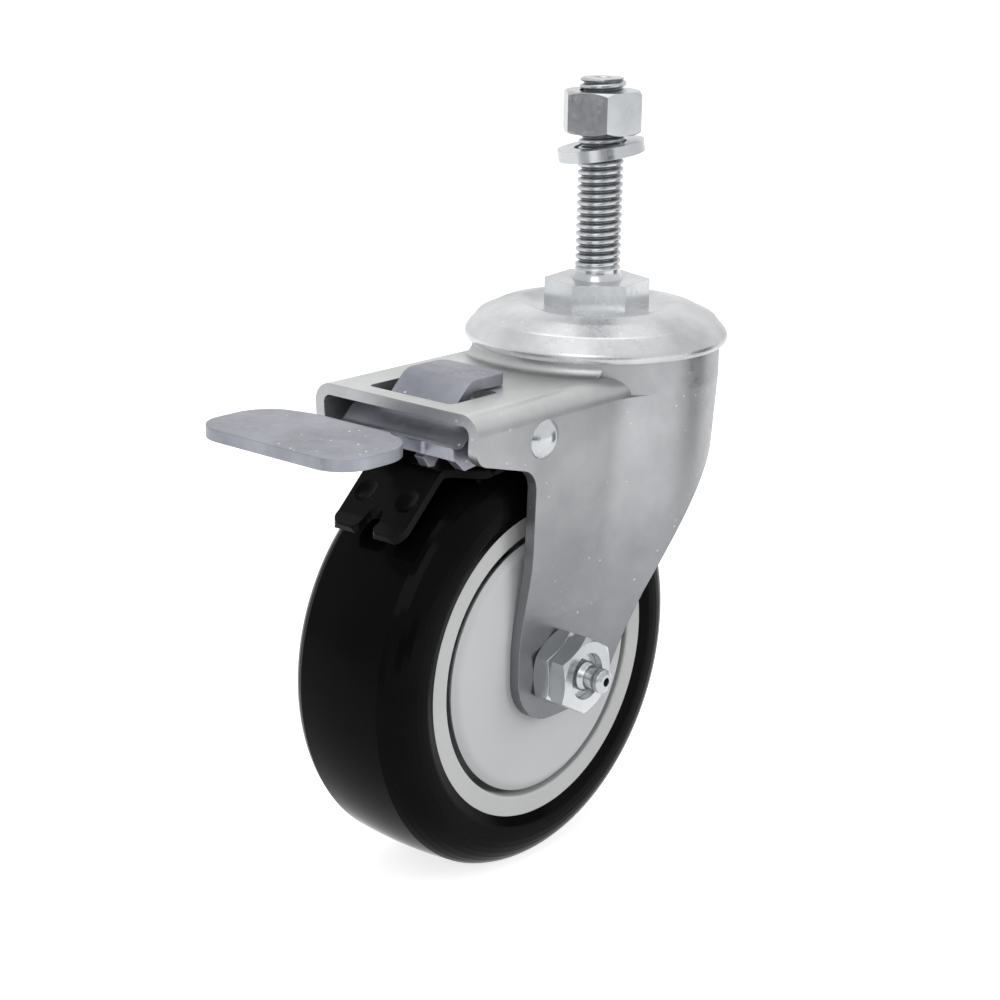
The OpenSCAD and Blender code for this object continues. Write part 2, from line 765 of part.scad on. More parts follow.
// Pawl between the lever's cheeks that swings up under the lock ring
module lock_pawl() {
    tip = -lock_ring_r + 2.4;
    tip_z = pivot_z - 4.6;
    color("silver") difference() {
        intersection() {
            across(lever_w - 2 * lever_t - 2 * fit_gap) polygon(sheet(bent([
                [-pivot_x - 3.6, pivot_z + 3.8, 0], [-pivot_x + 4.2, pivot_z + 2.2, 3],
                [-pivot_x + 8, pivot_z - 3.4, 3], [tip - 2, tip_z - 1, 1.2], [tip, tip_z, 0]
            ]), 1.8));
            translate([0, 0, -far / 2]) linear_extrude(far) polygon([
                [-far, -far], [-34, -far], [-34, -12], [-30, -9], [-22, -5], [-20.5, -1.5], [0, -1.5],
                [0, 1.5], [-20.5, 1.5], [-22, 5], [-30, 9], [-34, 12], [-34, far], [-far, far]
            ]);
        }
        translate([-pivot_x, -far / 2, pivot_z]) rotate([-90, 0, 0])
            cylinder(h = far, d = rivet_d + 2 * pivot_gap);
        translate([-pivot_x - far + coil_clear_r, -coil_clear_hw, -far / 2])
            cube([far, 2 * coil_clear_hw, far]);
    }
}

// Angle and radius from the axle of a point on the shoe, seen from the side
function over_tyre(a, gap) = [axle_x, axle_z] + (wheel_r + gap) * [cos(a), sin(a)];

// Brake shoe: a pressed plate that follows the tyre, with two lobes and a cheek on each side
module brake_shoe() {
    gap = pad_gap + shoe_t / 2;
    cheek_y = lever_w / 2 + turn_gap + shoe_t / 2;
    lip = over_tyre(138.5, gap + 1.1);
    toe_p = over_tyre(135, gap);
    ridge = over_tyre(119.5, gap + 1.6);
    heel = over_tyre(109, gap - 0.6);
    dimple_at = ridge + 0.6 * (toe_p - ridge);
    dimple_out = unit(dimple_at - [axle_x, axle_z]);
    notch_w = 4;
    dimple_r = 4.5;
    dimple_depth = 0.8;
    color([0.1, 0.1, 0.11]) difference() {
        union() {
            intersection() {
                across(far) polygon(sheet(bent([
                    [lip[0], lip[1], 0], [toe_p[0], toe_p[1], 1.5], [ridge[0], ridge[1], 2], [heel[0], heel[1], 0]
                ]), shoe_t));
                translate([0, 0, -far / 2]) linear_extrude(far) polygon(rounded([
                    [lip[0] - 0.2, -pad_w / 2, 2.6], [ridge[0] + 1, -pad_w / 2, 2], [ridge[0] + 4, -cheek_y, 2],
                    [-40, -cheek_y, 0], [-40, cheek_y, 0], [ridge[0] + 4, cheek_y, 2],
                    [ridge[0] + 1, pad_w / 2, 2], [lip[0] - 0.2, pad_w / 2, 2.6],
                    [lip[0] - 0.2, notch_w / 2, 1.5], [toe_p[0] + 1.6, notch_w / 2, notch_w / 2 - 0.1],
                    [toe_p[0] + 1.6, -notch_w / 2, notch_w / 2 - 0.1], [lip[0] - 0.2, -notch_w / 2, 1.5]
                ]));
            }
            for (s = [-1, 1])
                translate([0, s * cheek_y, 0]) across(shoe_t) polygon(rounded([
                    [ridge[0] + 3, ridge[1] + 0.4, 0.4], [heel[0] + 0.4, heel[1] - 0.6, 1],
                    [-pivot_x + 4, pivot_z - 4, 3.5], [-pivot_x + 4, pivot_z + 3.6, 3.5],
                    [-pivot_x - 4, pivot_z + 3.6, 3.5], [-pivot_x - 4.6, pivot_z - 2.6, 2]
                ]));
        }
        translate([-pivot_x, -far / 2, pivot_z]) rotate([-90, 0, 0])
            cylinder(h = far, d = rivet_d + 2 * pivot_gap);
        for (s = [-1, 1])
            translate([dimple_at[0], s * pad_w * 0.3, dimple_at[1]])
                translate([dimple_out[0], 0, dimple_out[1]] * (shoe_t / 2 + dimple_r - dimple_depth))
                    sphere(dimple_r);
    }
}

// Rivet through the fork's sides, with a domed head at each end
module brake_rivet() {
    head_h = 2;
    ball_r = (pow(rivet_head_d / 2, 2) + pow(head_h, 2)) / (2 * head_h);
    seat = fork_hw - (fold_z - pivot_z) * lean_slope - 0.1;
    color("silver") translate([-pivot_x, 0, pivot_z]) rotate([90, 0, 0]) {
        cylinder(h = 2 * seat, d = rivet_d, center = true);
        for (s = [0, 180])
            rotate([s, 0, 0]) translate([0, 0, seat]) intersection() {
                translate([0, 0, head_h - ball_r]) sphere(ball_r);
                cylinder(h = far, d = rivet_head_d);
            }
    }
}

// Return spring coiled on the rivet, with one leg on the deck and one on the shoe
function coil_point(i) =
    let (a = 90 + i * 360 / coil_steps)
    [coil_r * cos(a), (i / coil_steps - spring_turns / 2) * coil_pitch, coil_r * sin(a)];
function spring_path() =
    let (n = spring_turns * coil_steps)
    concat(
        [coil_point(0) + [-7, 0, -0.9], coil_point(0) + [-2, 0, 0]],
        [for (i = [0 : n]) coil_point(i)],
        [coil_point(n) + [-2, 0, 0], coil_point(n) + [-6, 0, -0.6]]
    );

// Tube of radius r along a path whose points never turn back on themselves
module tube(path, r, sides = 8) {
    n = len(path);
    function ahead(i) = unit(path[min(i + 1, n - 1)] - path[max(i - 1, 0)]);
    function out(i) = unit(cross(ahead(i), cross([0, 1, 0], ahead(i))));
    points = [for (i = [0 : n - 1]) for (k = [0 : sides - 1])
        path[i] + r * (out(i) * cos(k * 360 / sides) + cross(ahead(i), out(i)) * sin(k * 360 / sides))];
    skin = [for (i = [0 : n - 2]) for (k = [0 : sides - 1])
        [i * sides + k, (i + 1) * sides + k, (i + 1) * sides + (k + 1) % sides, i * sides + (k + 1) % sides]];
    polyhedron(points, concat(
        skin,
        [[for (k = [0 : sides - 1]) k]],
        [[for (k = [sides - 1 : -1 : 0]) (n - 1) * sides + k]]
    ));
}

module brake_spring() {
    color("silver") translate([-pivot_x, 0, pivot_z]) tube(spring_path(), spring_wire / 2);
}

stem();
stem_nut();
lock_washer();
top_cap();
lower_race();
lock_ring();
upper_balls();
lower_balls();
fork();
axle_bolt();
axle_sleeve();
jam_nut();
axle_nut();
grease_fitting();
thread_guard_near();
thread_guard_far();
bearing_inner_near();
bearing_inner_far();
bearing_outer_near();
bearing_outer_far();
bearing_balls_near();
bearing_balls_far();
wheel_core();
tyre();
brake_lever();
lock_pawl();
brake_shoe();
brake_rivet();
brake_spring();
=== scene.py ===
# %% [markdown]
# # A threaded stem castor
# This lesson dresses a castor that was first built as exact solids. The solids fix every size and
# every moving joint, so here we only add what they leave out: the thread on the stem, the finish of
# each metal and plastic, the light, the floor and the camera.
#
# The first cell loads the solids as one object each, in metres. The stem points up, the wheel trails
# toward -X, and the nuts on the axle face -Y.

# %% Load the castor
import math

import bpy
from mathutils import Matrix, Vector


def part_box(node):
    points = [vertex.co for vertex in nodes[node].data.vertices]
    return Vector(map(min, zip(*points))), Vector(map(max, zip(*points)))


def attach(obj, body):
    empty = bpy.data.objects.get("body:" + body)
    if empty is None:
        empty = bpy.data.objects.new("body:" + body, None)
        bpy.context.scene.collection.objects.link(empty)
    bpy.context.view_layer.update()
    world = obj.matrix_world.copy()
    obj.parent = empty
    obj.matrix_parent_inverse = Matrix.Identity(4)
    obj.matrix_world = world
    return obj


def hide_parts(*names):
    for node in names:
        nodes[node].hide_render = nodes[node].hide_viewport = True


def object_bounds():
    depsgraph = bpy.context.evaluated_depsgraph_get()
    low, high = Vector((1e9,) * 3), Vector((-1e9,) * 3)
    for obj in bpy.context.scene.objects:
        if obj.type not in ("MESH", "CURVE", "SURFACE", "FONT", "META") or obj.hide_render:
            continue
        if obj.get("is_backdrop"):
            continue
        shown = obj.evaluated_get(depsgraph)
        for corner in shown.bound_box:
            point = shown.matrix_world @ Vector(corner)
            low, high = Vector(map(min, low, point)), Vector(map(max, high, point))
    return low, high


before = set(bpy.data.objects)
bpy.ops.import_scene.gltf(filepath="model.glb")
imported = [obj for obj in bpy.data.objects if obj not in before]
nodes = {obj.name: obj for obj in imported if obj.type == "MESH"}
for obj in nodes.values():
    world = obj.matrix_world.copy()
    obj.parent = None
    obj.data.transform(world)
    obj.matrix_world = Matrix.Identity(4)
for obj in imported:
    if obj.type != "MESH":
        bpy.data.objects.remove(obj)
solid_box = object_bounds()
print("solids:", len(nodes), "box in metres:", [[round(v, 4) for v in corner] for corner in solid_box])

# %% [markdown]
# ## The camera
# The photograph was taken from in front of the foot lever, a little above the deck, through a long
# lens. A long lens keeps parallel edges nearly parallel, which is why product shots use one.
#
# A camera could be dragged into place by eye. We place it by two angles and a distance instead, so
# that each number means something: `AZIMUTH` turns it round the castor, `ELEVATION` lifts it, and a
# small `ROLL` copies the tilt of the picture. The two target numbers say which point of the castor
# lies in the middle of the frame.

# %% Place the camera
AZIMUTH = math.radians(-49.33)
ELEVATION = math.radians(16.68)
ROLL = math.radians(1.01)
DISTANCE = 0.44845
TARGET_RIGHT = -0.01953
TARGET_UP = -0.0469
LENS_MM = 77.13
SENSOR_MM = 36
NEAREST, FARTHEST = 0.01, 50

back = Vector((
    math.sin(AZIMUTH) * math.cos(ELEVATION),
    -math.cos(AZIMUTH) * math.cos(ELEVATION),
    math.sin(ELEVATION),
))
right = Vector((math.cos(AZIMUTH), math.sin(AZIMUTH), 0))
up = back.cross(right)
target = right * TARGET_RIGHT + up * TARGET_UP
rolled_right = right * math.cos(ROLL) + up * math.sin(ROLL)
rolled_up = up * math.cos(ROLL) - right * math.sin(ROLL)

camera_data = bpy.data.cameras.new("camera")
camera_data.sensor_width = SENSOR_MM
camera_data.lens = LENS_MM
camera_data.clip_start = NEAREST
camera_data.clip_end = FARTHEST
camera = bpy.data.objects.new("camera", camera_data)
bpy.context.collection.objects.link(camera)
place = camera.matrix_world.copy()
for row in range(3):
    place[row][0] = rolled_right[row]
    place[row][1] = rolled_up[row]
    place[row][2] = back[row]
    place[row][3] = target[row] + back[row] * DISTANCE
camera.matrix_world = place
bpy.context.scene.camera = camera
bpy.context.scene.view_settings.view_transform = "Standard"
print("camera at", [round(v, 3) for v in camera.matrix_world.translation])

# %% [markdown]
# ## Building a material
# Every finish here is a small network of nodes. A few helpers keep the networks short: one starts a
# material, one adds a node and joins its inputs, and one makes a noise pattern. The pattern is fixed
# to the piece by the piece's own coordinates, so it travels along when a joint moves.

# %% Material helpers
def new_finish(name):
    """A material with an empty network, its main shader and its output."""
    material = bpy.data.materials.new(name)
    material.use_nodes = True
    tree = material.node_tree
    tree.nodes.clear()
    shader = tree.nodes.new("ShaderNodeBsdfPrincipled")
    output = tree.nodes.new("ShaderNodeOutputMaterial")
    tree.links.new(shader.outputs["BSDF"], output.inputs["Surface"])
    return material, tree, shader


def feed(tree, socket, value):
    """Joins another node's output to a socket, or sets the socket to a plain value."""
    if isinstance(value, bpy.types.NodeSocket):
        tree.links.new(value, socket)
    else:
        socket.default_value = value


def node(tree, kind, settings=None, **inputs):
    """A node of the given kind. An input goes by its name, or by its number as in0, in1 and so on."""
    made = tree.nodes.new(kind)
    for key, value in (settings or {}).items():
        setattr(made, key, value)
    for key, value in inputs.items():
        numbered = key.startswith("in") and key[2:].isdigit()
        feed(tree, made.inputs[int(key[2:]) if numbered else key], value)
    return made


def place_of(tree):
    """Coordinates in metres that stay with the piece."""
    return tree.nodes.new("ShaderNodeTexCoord").outputs["Object"]


def noise(tree, where, scale, detail=3.0, rough=0.5):
    """A cloud pattern with about `scale` blobs in a metre."""
    made = node(tree, "ShaderNodeTexNoise", Vector=where, Scale=scale, Detail=detail, Roughness=rough)
    return made.outputs["Fac"]


def span(tree, value, low, high, to_low, to_high):
    """Maps low..high onto to_low..to_high, and stops at both ends."""
    made = node(tree, "ShaderNodeMapRange", in0=value, in1=low, in2=high, in3=to_low, in4=to_high)
    return made.outputs[0]


def clouds(tree, pattern):
    """Stretches the middle of a noise pattern, where nearly all its values lie, to 0..1."""
    return span(tree, pattern, 0.3, 0.7, 0, 1)


def between(tree, share, first, second):
    """Mixes two colours. Each is three plain numbers, or the output of another node."""
    made = node(tree, "ShaderNodeMix", {"data_type": "RGBA"}, in0=share)
    for socket, colour in ((made.inputs[6], first), (made.inputs[7], second)):
        feed(tree, socket, colour if isinstance(colour, bpy.types.NodeSocket) else (*colour, 1))
    return made.outputs[2]


def combine(tree, how, first, second):
    """Arithmetic on two values."""
    return node(tree, "ShaderNodeMath", {"operation": how}, in0=first, in1=second).outputs[0]


def emboss(tree, shader, height, strength, depth, edge):
    """Fine relief of `depth` metres, over sharp edges that catch the light as if rounded by `edge`."""
    soft_edge = node(tree, "ShaderNodeBevel", {"samples": 4}, Radius=edge)
    bump = node(tree, "ShaderNodeBump", Strength=strength, Distance=depth, Height=height,
                Normal=soft_edge.outputs[0])
    tree.links.new(bump.outputs[0], shader.inputs["Normal"])


print("helpers ready")

# %% [markdown]
# ## Zinc plate
# The stem, nuts, cap, fork and foot lever are steel with a bright zinc plate. Zinc isn't a mirror:
# it is a fine crystal skin, so its reflections are soft, its grey drifts a little from place to
# place, and it picks up tiny pale scuffs. One grey with one roughness would look like plastic, so
# each of these gets a pattern of its own.
#
# One function makes each shade, so a turned part and a pressed part share the same recipe. Deep
# corners are darkened over the distance `hollow` as painted shade. A pressed sheet can have a paler
# `top`, a painted highlight on the faces that point up, and its walls turn greyer toward the `foot`.

# %% The grey of the plate
# Painted shade: the grey that deep corners are darkened toward.
CORNER_SHADE_GREY = (0.16, 0.165, 0.17)
SCUFF = (0.92, 0.92, 0.93)
FOOT_Z = -0.088
SHOULDER_Z = -0.026
DRIFT_SCALE = 38
SPECK_SCALE = 420.0
PATCH_SCALE = 60


def zinc_tone(tree, where, dark, pale, hollow, foot, top):
    """A cloudy grey, darker toward the foot, with a painted highlight on top and painted shade in the
    corners.
    """
    drift = clouds(tree, noise(tree, where, DRIFT_SCALE, 4, 0.6))
    tone = between(tree, drift, dark, pale)
    if foot:
        level = node(tree, "ShaderNodeSeparateXYZ", Vector=where).outputs["Z"]
        tone = between(tree, span(tree, level, FOOT_Z, SHOULDER_Z, 0, 1), foot, tone)
    # Painted highlight: faces that point up mix toward the paler `top` greys.
    if top:
        normal = tree.nodes.new("ShaderNodeTexCoord").outputs["Normal"]
        facing_up = node(tree, "ShaderNodeSeparateXYZ", Vector=normal).outputs["Z"]
        deck = between(tree, drift, *top)
        tone = between(tree, span(tree, facing_up, 0.3, 0.95, 0, 1), tone, deck)
    # Painted shade: corners that ambient occlusion finds turn toward the corner grey.
    shelter = node(tree, "ShaderNodeAmbientOcclusion", {"samples": 6, "only_local": True},
                   Distance=hollow)
    return between(tree, span(tree, shelter.outputs["AO"], 0.15, 0.9, 0, 1), CORNER_SHADE_GREY, tone)


def zinc_scuffs(tree, where, specks):
    """Pale dots that come in patches, as strong as `specks` says."""
    cells = node(tree, "ShaderNodeTexVoronoi", {"feature": "F1"}, Vector=where, Scale=SPECK_SCALE)
    dots = span(tree, cells.outputs["Distance"], 0.06, 0.13, specks, 0)
    patches = span(tree, noise(tree, where, PATCH_SCALE, 2), 0.44, 0.56, 0, 1)
    return combine(tree, "MULTIPLY", dots, patches)


print("dirt", CORNER_SHADE_GREY, "scuffs", SCUFF)

# %% Zinc plate
ZINC_METALLIC = 0.85
ZINC_RELIEF = 0.00006
SCUFF_ROUGHNESS = 0.25


def zinc(name, dark, pale, rough, hollow, grain=900.0, specks=0.5, edge=0.00025, relief=0.16,
         foot=None, top=None):
    """A shade of zinc plate that drifts from dark to pale, with crystals of about 1/grain metres."""
    material, tree, shader = new_finish(name)
    where = place_of(tree)
    scuffs = zinc_scuffs(tree, where, specks)
    tone = zinc_tone(tree, where, dark, pale, hollow, foot, top)
    tree.links.new(between(tree, scuffs, tone, SCUFF), shader.inputs["Base Color"])
    shader.inputs["Metallic"].default_value = ZINC_METALLIC
    crystal = noise(tree, where, grain, 5, 0.65)
    plain = span(tree, crystal, 0.3, 0.7, *rough)
    worn = combine(tree, "ADD", plain, combine(tree, "MULTIPLY", scuffs, SCUFF_ROUGHNESS))
    tree.links.new(worn, shader.inputs["Roughness"])
    emboss(tree, shader, crystal, relief, ZINC_RELIEF, edge)
    return material


finishes = {
    # The fork's `top` greys are a painted highlight on its upward faces, and each `hollow` distance is
    # how far painted shade reaches into corners.
    "pressed_zinc": zinc(
        "pressed_zinc", (0.32, 0.325, 0.335), (0.5, 0.505, 0.515), (0.32, 0.44), 0.003,
        foot=(0.15, 0.155, 0.165), top=((0.5, 0.51, 0.505), (0.7, 0.71, 0.7))),
    "cap_zinc": zinc(
        "cap_zinc", (0.41, 0.415, 0.425), (0.76, 0.765, 0.775), (0.24, 0.36), 0.004, specks=0.9),
    "turned_zinc": zinc(
        "turned_zinc", (0.42, 0.435, 0.45), (0.66, 0.675, 0.69), (0.17, 0.28), 0.0022,
        grain=700.0, specks=0.3, edge=0.00015, relief=0.04),
    "lever_zinc": zinc(
        "lever_zinc", (0.21, 0.215, 0.25), (0.42, 0.43, 0.475), (0.34, 0.48), 0.003,
        grain=700.0, specks=1.0, edge=0.0004),
}
print("zinc shades:", sorted(finishes))

# %% [markdown]
# ## Plastics, paint and hidden steel
# The tyre is poured polyurethane, black and glossy like glass, with only the faintest waviness. The
# core is moulded grey plastic, and the thread guard in front of it is painted the same grey but is
# smoother. The brake shoe is black and glossy. The races and balls inside are plain ground steel.
#
# These surfaces differ from each other only in colour, gloss and relief, so they share one function
# too. `drift` is how far the colour wanders. `shine` is how strongly a surface mirrors the room
# before its own colour shows: it is low on the two blacks, because the photograph keeps them deep.

# %% Plastics, paint and hidden steel
COATED_EDGE = 0.0002
COATED_RELIEF = 0.3
MOTTLE_SCALE = 55


def coated(name, colour, drift, rough, bump_scale, bump_depth, metallic=0.0, shine=0.5):
    """An even finish with a faint drift of colour and a fine relief."""
    material, tree, shader = new_finish(name)
    where = place_of(tree)
    low = tuple(c * (1 - drift) for c in colour)
    high = tuple(min(1, c * (1 + drift)) for c in colour)
    tone = between(tree, clouds(tree, noise(tree, where, MOTTLE_SCALE, 3)), low, high)
    tree.links.new(tone, shader.inputs["Base Color"])
    fine = noise(tree, where, bump_scale, 4, 0.6)
    tree.links.new(span(tree, fine, 0.3, 0.7, *rough), shader.inputs["Roughness"])
    shader.inputs["Metallic"].default_value = metallic
    shader.inputs["Specular IOR Level"].default_value = shine
    emboss(tree, shader, fine, COATED_RELIEF, bump_depth, COATED_EDGE)
    return material


finishes["tyre_gloss"] = coated(
    "tyre_gloss", (0.004, 0.004, 0.004), 0.3, (0.10, 0.16), 120.0, 0.00003, shine=0.03)
finishes["core_plastic"] = coated(
    "core_plastic", (0.60, 0.60, 0.595), 0.04, (0.42, 0.55), 2200.0, 0.00004)
finishes["guard_paint"] = coated(
    "guard_paint", (0.60, 0.61, 0.615), 0.03, (0.34, 0.44), 1600.0, 0.00003)
finishes["shoe_black"] = coated(
    "shoe_black", (0.008, 0.008, 0.008), 0.3, (0.16, 0.26), 800.0, 0.00004, shine=0.05)
finishes["ground_steel"] = coated(
    "ground_steel", (0.42, 0.42, 0.43), 0.06, (0.25, 0.4), 1500.0, 0.00004, metallic=1.0)
finishes["spring_steel"] = coated(
    "spring_steel", (0.3, 0.3, 0.31), 0.08, (0.3, 0.45), 1500.0, 0.00004, metallic=1.0)
print("finishes:", sorted(finishes))

# %% [markdown]
# ## Giving each solid its finish
# On the real castor each part is plated, moulded or painted before it is put together, so each solid
# takes one finish as a whole. We could paint single faces, but the finishes vary by place on their
# own. A solid keeps its mesh, and only its material slots change.

# %% Assign the finishes
FINISH_OF = {
    "stem": "turned_zinc", "stem_nut": "turned_zinc", "lock_washer": "turned_zinc",
    "top_cap": "cap_zinc", "fork": "pressed_zinc", "brake_rivet": "turned_zinc",
    "lower_race": "ground_steel", "lock_ring": "ground_steel", "upper_balls": "ground_steel",
    "lower_balls": "ground_steel", "axle_bolt": "turned_zinc", "axle_sleeve": "ground_steel",
    "jam_nut": "turned_zinc", "axle_nut": "turned_zinc", "grease_fitting": "turned_zinc",
    "thread_guard_near": "guard_paint", "thread_guard_far": "guard_paint",
    "bearing_inner_near": "ground_steel", "bearing_inner_far": "ground_steel",
    "bearing_outer_near": "ground_steel", "bearing_outer_far": "ground_steel",
    "bearing_balls_near": "ground_steel", "bearing_balls_far": "ground_steel",
    "wheel_core": "core_plastic", "tyre": "tyre_gloss", "brake_lever": "lever_zinc",
    "lock_pawl": "ground_steel", "brake_shoe": "shoe_black", "brake_spring": "spring_steel",
}
for name, finish in FINISH_OF.items():
    mesh = nodes[name].data
    mesh.materials.clear()
    mesh.materials.append(finishes[finish])
print("dressed", len(FINISH_OF), "solids")

# %% [markdown]
# ## The threaded stem
# The solids leave the thread out, because a thread is a fine texture to a designer's model. In the
# picture it is the first thing you see. A screw thread is a height pattern wrapped round a shaft:
# at any height and angle, the radius depends only on how far along its turn the thread is there.
#
# A thread can be swept along a spiral, but its ends and the shaft then have to be joined to it. We
# build the whole stem as one turned grid instead. Each row has a height, and each point on the row
# asks a function for its radius. The same grid makes the hex base, whose radius depends on the angle
# alone.

# %% Sizes of the stem
PITCH = 0.0015875
STEM_R = 0.00475
THREAD_DEPTH = 0.0009
STEM_TOP = 0.0414
HEX_AF = 0.01905
HEX_T = 0.0057
HEX_TURN = math.radians(10.7)
KINGPIN_R = 0.006
stem_low, stem_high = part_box("stem")
print("stem runs from", round(stem_low[2], 4), "to", round(stem_high[2], 4))


# %% The stem's radius at any height and angle
CREST_START = 0.1
CREST_RISE = 0.7
RUNOUT_Z = 0.0022
RUNOUT_LENGTH = 0.0012


def thread_radius(z, angle):
    """A worn, plated thread: a narrow root between broad round crests. It runs out near the base."""
    phase = (z / PITCH - angle / math.tau) % 1
    ridge = 1 - abs(phase * 2 - 1)
    rise = math.sin(math.pi / 2 * min(1, max(0, (ridge - CREST_START) / CREST_RISE)))
    fade_in = min(1, max(0, (z - RUNOUT_Z) / RUNOUT_LENGTH))
    return STEM_R - THREAD_DEPTH * (1 - rise) * fade_in


def hex_radius(z, angle):
    """The flats of the hex base. A row of points starts on a corner, so all six corners are sharp."""
    sector = (angle - HEX_TURN) % (math.tau / 6) - math.tau / 12
    return HEX_AF / 2 / math.cos(sector)


print("crest", STEM_R, "root", round(STEM_R - THREAD_DEPTH, 5))


# %% A turned grid
STEPS = 96


def turned(name, rows):
    """A closed mesh from rows of (height, radius function), with a point at each end."""
    verts = []
    for z, radius in rows:
        for k in range(STEPS):
            angle = HEX_TURN + math.tau * k / STEPS
            r = radius(z, angle) if callable(radius) else radius
            verts.append((r * math.cos(angle), r * math.sin(angle), z))
    faces = []
    for row in range(len(rows) - 1):
        for k in range(STEPS):
            here, after = row * STEPS + k, row * STEPS + (k + 1) % STEPS
            faces.append((here, after, after + STEPS, here + STEPS))
    first, last = len(verts), len(verts) + 1
    verts += [(0, 0, rows[0][0]), (0, 0, rows[-1][0])]
    top = (len(rows) - 1) * STEPS
    for k in range(STEPS):
        faces.append((first, (k + 1) % STEPS, k))
        faces.append((last, top + k, top + (k + 1) % STEPS))
    mesh = bpy.data.meshes.new(name)
    mesh.from_pydata(verts, [], faces)
    mesh.update()
    piece = bpy.data.objects.new(name, mesh)
    bpy.context.collection.objects.link(piece)
    return piece


print("points round the stem:", STEPS)

# %% The stem's rows, from the kingpin's head up to the recess in the tip
SLICES_PER_TURN = 14
HEAD_H = 0.0022
HEAD_LOW_R, HEAD_HIGH_R = 0.0074, 0.0084
# Height above the hex base, and how far the foot of the stem flares out there
FLARE = ((0.0, 0.0006), (0.0004, 0.0004), (0.0010, 0.0001), (0.0016, 0.0))
THREAD_START = 0.0018
THREAD_STOP = 0.0005
TIP_BEVEL = 0.0004
TIP_EDGE = 0.0001
TIP_STEP = 0.00015
# Depth below the tip, and radius of the turning centre there
TURNING_CENTRE = ((0.0, 0.0019), (0.0002, 0.0016), (0.0008, 0.0013))


def tip_radius(z, angle):
    """The thread, cut back by the bevel at the stem's end."""
    return min(thread_radius(z, angle), STEM_R - TIP_BEVEL)


def end_radius(z, angle):
    """The edge of the flat end, a step inside the bevel."""
    return tip_radius(z, angle) - TIP_STEP


def stem_rows():
    """Every row of the stem from bottom to top."""
    head_top = stem_low[2] + HEAD_H
    rows = [
        (stem_low[2], HEAD_LOW_R), (head_top, HEAD_HIGH_R), (head_top, KINGPIN_R),
        (-HEX_T, KINGPIN_R), (-HEX_T, hex_radius), (0.0, hex_radius),
    ]
    rows += [(z, STEM_R + beyond) for z, beyond in FLARE]
    length = STEM_TOP - THREAD_STOP - THREAD_START
    count = round(length / PITCH * SLICES_PER_TURN)
    rows += [(THREAD_START + length * k / count, thread_radius) for k in range(count + 1)]
    rows += [(STEM_TOP - TIP_EDGE, tip_radius), (STEM_TOP, end_radius)]
    rows += [(STEM_TOP - depth, radius) for depth, radius in TURNING_CENTRE]
    return rows


print("rows:", len(stem_rows()))

# %% Make the stem
SHARP_EDGE = math.radians(28)

threaded_stem = turned("threaded_stem", stem_rows())
threaded_stem.data.shade_smooth()
threaded_stem.data.set_sharp_from_angle(angle=SHARP_EDGE)
threaded_stem.data.materials.append(finishes["turned_zinc"])
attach(threaded_stem, "stem")
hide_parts("stem")
print("threaded stem:", len(threaded_stem.data.polygons), "faces")

# %% [markdown]
# ## Floor and backdrop
# The photograph shows the castor cut out on white. We keep a plain white floor that still takes the
# castor's shadow. A brighter lamp would whiten it too, but would bleach the castor with it, so the
# floor's material adds a little glow of its own, only for rays that come from the camera, from a
# reflection or through glass.

# %% Floor
FLOOR_R = 9.0
FLOOR_GLOW = 0.78
SPECKLE_SCALE = 30
floor_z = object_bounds()[0][2]
corners = [(-FLOOR_R, -FLOOR_R), (FLOOR_R, -FLOOR_R), (FLOOR_R, FLOOR_R), (-FLOOR_R, FLOOR_R)]
floor_mesh = bpy.data.meshes.new("floor")
floor_mesh.from_pydata([(x, y, floor_z) for x, y in corners], [], [(0, 1, 2, 3)])
floor = bpy.data.objects.new("floor", floor_mesh)
bpy.context.collection.objects.link(floor)
floor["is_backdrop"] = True
print("floor at", round(floor_z, 5))


# %% The floor's finish
def seen_rays(tree):
    """1 for a ray from the camera, from a reflection or through glass, and 0 for one that lights."""
    path = tree.nodes.new("ShaderNodeLightPath").outputs
    mirrored = combine(tree, "MAXIMUM", path["Is Glossy Ray"], path["Is Transmission Ray"])
    return combine(tree, "MAXIMUM", path["Is Camera Ray"], mirrored)


floor_finish = bpy.data.materials.new("floor_white")
floor_finish.use_nodes = True
tree = floor_finish.node_tree
tree.nodes.clear()
speckle = span(tree, noise(tree, place_of(tree), SPECKLE_SCALE, 2), 0.3, 0.7, 0.40, 0.43)
matt = node(tree, "ShaderNodeBsdfDiffuse", Color=between(tree, speckle, (0.4, 0.4, 0.4), (1, 1, 1)))
strength = combine(tree, "MULTIPLY", seen_rays(tree), FLOOR_GLOW)
glow = node(tree, "ShaderNodeEmission", Color=(1, 1, 1, 1), Strength=strength)
both = node(tree, "ShaderNodeAddShader", in0=matt.outputs[0], in1=glow.outputs[0])
node(tree, "ShaderNodeOutputMaterial", Surface=both.outputs[0])
floor_mesh.materials.append(floor_finish)
print("floor finish:", floor_finish.name)

# %% [markdown]
# ## World
# Bright metal shows its surroundings more than its own colour. The room is white wherever the camera
# or a reflection looks, but a white room would also light the castor flat. So its light on matt
# surfaces is a soft grey that grows from the horizon up.

# %% World
LOW_SKY = (0.14, 0.145, 0.15)
HIGH_SKY = (0.62, 0.63, 0.65)
world = bpy.data.worlds.new("studio")
bpy.context.scene.world = world
world.use_nodes = True
tree = world.node_tree
tree.nodes.clear()
direction = tree.nodes.new("ShaderNodeTexCoord").outputs["Generated"]
heading = node(tree, "ShaderNodeSeparateXYZ", Vector=direction)
height = span(tree, heading.outputs["Z"], -0.1, 0.75, 0, 1)
room = between(tree, height, LOW_SKY, HIGH_SKY)
white_where_seen = between(tree, seen_rays(tree), room, (1, 1, 1))
sky = node(tree, "ShaderNodeBackground", Color=white_where_seen, Strength=1.0)
node(tree, "ShaderNodeOutputWorld", Surface=sky.outputs[0])
print("world ready")

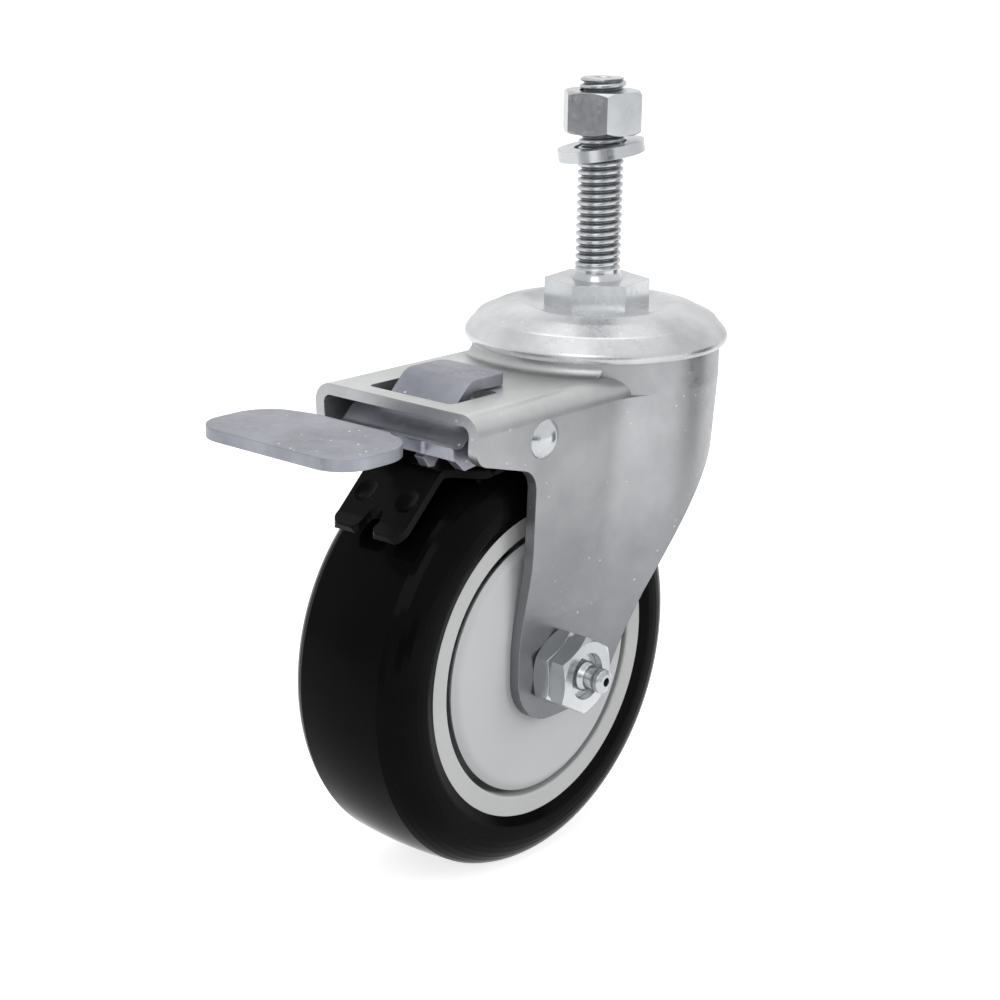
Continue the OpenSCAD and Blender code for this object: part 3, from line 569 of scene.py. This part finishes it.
# %% [markdown]
# ## Lamps
# A large soft panel from the upper left gives the castor its shape, and one overhead lights the deck.
# A third stands in front on the right, and lifts the tyre and the wheel's core. Its own reflection
# would leave a glaring square on the fork's leg, so it is hidden from reflections.

# %% Lamps
LOOK_AT = Vector((-0.03, 0, -0.05))


def face_castor(thing, at):
    """Puts a lamp or a card at a place and turns its front to the castor."""
    thing.location = at
    thing.rotation_euler = (LOOK_AT - Vector(at)).to_track_quat("-Z", "Y").to_euler()


def panel(name, at, size, watts):
    """A soft square lamp."""
    data = bpy.data.lights.new(name, "AREA")
    data.size = size
    data.energy = watts
    lamp = bpy.data.objects.new(name, data)
    bpy.context.collection.objects.link(lamp)
    face_castor(lamp, at)
    return lamp


panel("key_panel", (-0.75, -0.35, 0.65), 0.6, 2.2)
panel("top_panel", (0.0, 0.1, 0.9), 0.8, 2.1)
side_panel = panel("side_panel", (0.45, -0.8, 0.2), 0.5, 3.4)
side_panel.visible_glossy = False

# %% [markdown]
# ## Dark cards
# In an all white room bright metal has no shape. A product photographer stands dark cards just out of
# the picture, and their reflections draw the edges. The card on the right darkens the fork's leg, the
# one on the left turns one side of each nut grey, and a third stands where the photographer does. The
# camera itself doesn't see them.

# %% Dark cards
CARD_ROUGHNESS = 0.9
CARD_PALE = 1.5
WEAVE_SCALE = 80


def card(name, grey, at, wide, tall):
    """A flat card of one grey, with a faint weave."""
    finish, tree, shader = new_finish(name)
    weave = clouds(tree, noise(tree, place_of(tree), WEAVE_SCALE, 3))
    tone = between(tree, weave, (grey,) * 3, (grey * CARD_PALE,) * 3)
    tree.links.new(tone, shader.inputs["Base Color"])
    shader.inputs["Roughness"].default_value = CARD_ROUGHNESS
    mesh = bpy.data.meshes.new(name)
    w, t = wide / 2, tall / 2
    mesh.from_pydata([(-w, -t, 0), (w, -t, 0), (w, t, 0), (-w, t, 0)], [], [(0, 1, 2, 3)])
    mesh.materials.append(finish)
    piece = bpy.data.objects.new(name, mesh)
    bpy.context.collection.objects.link(piece)
    face_castor(piece, at)
    piece.visible_camera = False
    piece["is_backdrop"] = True


card("card_right", 0.03, (0.19, -0.16, -0.06), 0.13, 0.12)
card("card_left", 0.35, (-0.46, 0.06, -0.05), 0.26, 0.16)
card("card_camera", 0.03, (-0.42, -0.52, -0.02), 0.5, 0.16)

# %% [markdown]
# ## Finish
# The size of the dressed castor must stay that of the solids, so both boxes are written down and
# compared.

# %% Write the sizes and finish
dressed_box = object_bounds()
for side, solid_low, solid_high, low, high in zip("XYZ", *solid_box, *dressed_box):
    print("along", side, "grown by", round(1000 * ((high - low) - (solid_high - solid_low)), 3), "mm")
